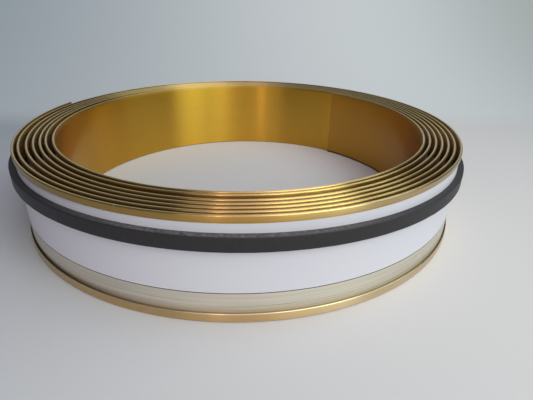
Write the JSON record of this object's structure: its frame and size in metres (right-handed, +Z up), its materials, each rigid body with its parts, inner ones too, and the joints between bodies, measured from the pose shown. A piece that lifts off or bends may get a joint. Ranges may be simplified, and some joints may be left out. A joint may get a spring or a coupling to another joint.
{
  "type": "channel letter coil",
  "caption": "Open coil of folded aluminium channel letter strip, gold inside and white outside, with a hemmed top edge, a hooked bottom edge and a foam tape holding its turns apart.",
  "frame": {"origin": "under the middle of the coil's outline, at floor level", "axes": "+Z up across the strip's width, -Y towards the side seen in the picture, +X to its right"},
  "size_m": [0.4194, 0.4126, 0.08],
  "materials": {
    "anodised_aluminium": "gold anodised on one side, white coated on the other, bare and brushed along the foot",
    "black_foam": "closed-cell foam, matte"
  },
  "bodies": {
    "root": {"aluminium_strip": "anodised_aluminium", "foam_tape": "black_foam"}
  },
  "joints": []
}
